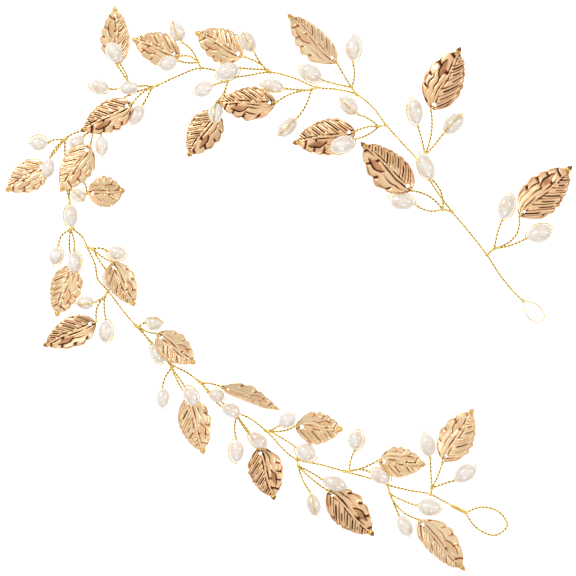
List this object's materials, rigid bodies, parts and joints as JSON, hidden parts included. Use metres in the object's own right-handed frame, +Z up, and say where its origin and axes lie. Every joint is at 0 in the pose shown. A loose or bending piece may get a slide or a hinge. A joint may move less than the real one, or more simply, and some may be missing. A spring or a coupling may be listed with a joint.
{
  "type": "bridal hair vine",
  "caption": "Bendable bridal hair vine of twisted gold wire, with ribbed gold leaves and rice pearls on sprigs and a wire loop at each end.",
  "frame": {"origin": "middle of the vine's outline, on the table that it lies on", "axes": "+Z up, out of the leaves' faces; the vine lies curved in the X-Y plane, open towards +X with the small end loop at +X and the large end loop at -Y"},
  "size_m": [0.1775, 0.1764, 0.011],
  "materials": {
    "leaf_metal": "satin",
    "wire": "bright",
    "pearl": "pearl"
  },
  "bodies": {
    "small_end_loop": {"small_end_loop": "wire"},
    "vine_1": {"vine_wire_1": "wire", "leaf_01": "leaf_metal", "pearls_01": "pearl", "leaf_02": "leaf_metal", "pearls_02": "pearl", "leaf_03": "leaf_metal", "pearls_03": "pearl", "leaf_04": "leaf_metal", "pearls_04": "pearl"},
    "vine_2": {"vine_wire_2": "wire", "leaf_05": "leaf_metal", "pearls_05": "pearl", "leaf_06": "leaf_metal", "pearls_06": "pearl", "leaf_07": "leaf_metal", "pearls_07": "pearl", "leaf_08": "leaf_metal", "pearls_08": "pearl", "leaf_09": "leaf_metal", "pearls_09": "pearl"},
    "vine_3": {"vine_wire_3": "wire", "leaf_10": "leaf_metal", "pearls_10": "pearl", "leaf_11": "leaf_metal", "pearls_11": "pearl", "leaf_12": "leaf_metal", "pearls_12": "pearl", "leaf_13": "leaf_metal", "pearls_13": "pearl", "leaf_14": "leaf_metal", "pearls_14": "pearl", "leaf_15": "leaf_metal", "pearls_15": "pearl"},
    "vine_4": {"vine_wire_4": "wire", "leaf_16": "leaf_metal", "pearls_16": "pearl", "leaf_17": "leaf_metal", "pearls_17": "pearl", "leaf_18": "leaf_metal", "pearls_18": "pearl", "leaf_19": "leaf_metal", "pearls_19": "pearl"},
    "vine_5": {"vine_wire_5": "wire", "leaf_20": "leaf_metal", "pearls_20": "pearl", "leaf_21": "leaf_metal", "pearls_21": "pearl", "leaf_22": "leaf_metal", "pearls_22": "pearl", "leaf_23": "leaf_metal", "pearls_23": "pearl"},
    "vine_6": {"vine_wire_6": "wire", "leaf_24": "leaf_metal", "pearls_24": "pearl", "leaf_25": "leaf_metal", "pearls_25": "pearl", "leaf_26": "leaf_metal", "pearls_26": "pearl"},
    "large_end_loop": {"large_end_loop": "wire"}
  },
  "joints": [
    {"name": "small_loop_bend", "type": "hinge", "parent": "vine_1", "child": "small_end_loop", "pos_m": [0.0672, 0.0029, 0.0024], "axis": [0.8147, 0.5798, 0], "range_deg": [-15, 35]},
    {"name": "bend_1", "type": "hinge", "parent": "vine_2", "child": "vine_1", "pos_m": [0.0263, 0.0568, 0.0024], "axis": [0.722, 0.6919, 0], "range_deg": [-15, 35]},
    {"name": "bend_2", "type": "hinge", "parent": "vine_3", "child": "vine_2", "pos_m": [-0.0344, 0.0664, 0.0024], "axis": [-0.3671, 0.9302, 0], "range_deg": [-15, 35]},
    {"name": "bend_3", "type": "hinge", "parent": "vine_3", "child": "vine_4", "pos_m": [-0.0643, 0.0159, 0.0024], "axis": [0.9117, 0.4108, 0], "range_deg": [-15, 35]},
    {"name": "bend_4", "type": "hinge", "parent": "vine_4", "child": "vine_5", "pos_m": [-0.0312, -0.0267, 0.0024], "axis": [0.6112, 0.7915, 0], "range_deg": [-15, 35]},
    {"name": "bend_5", "type": "hinge", "parent": "vine_5", "child": "vine_6", "pos_m": [0.0103, -0.0553, 0.0024], "axis": [0.2602, 0.9656, 0], "range_deg": [-15, 35]},
    {"name": "large_loop_bend", "type": "hinge", "parent": "vine_6", "child": "large_end_loop", "pos_m": [0.0483, -0.0665, 0.0024], "axis": [0.4907, 0.8713, 0], "range_deg": [-15, 35]}
  ]
}
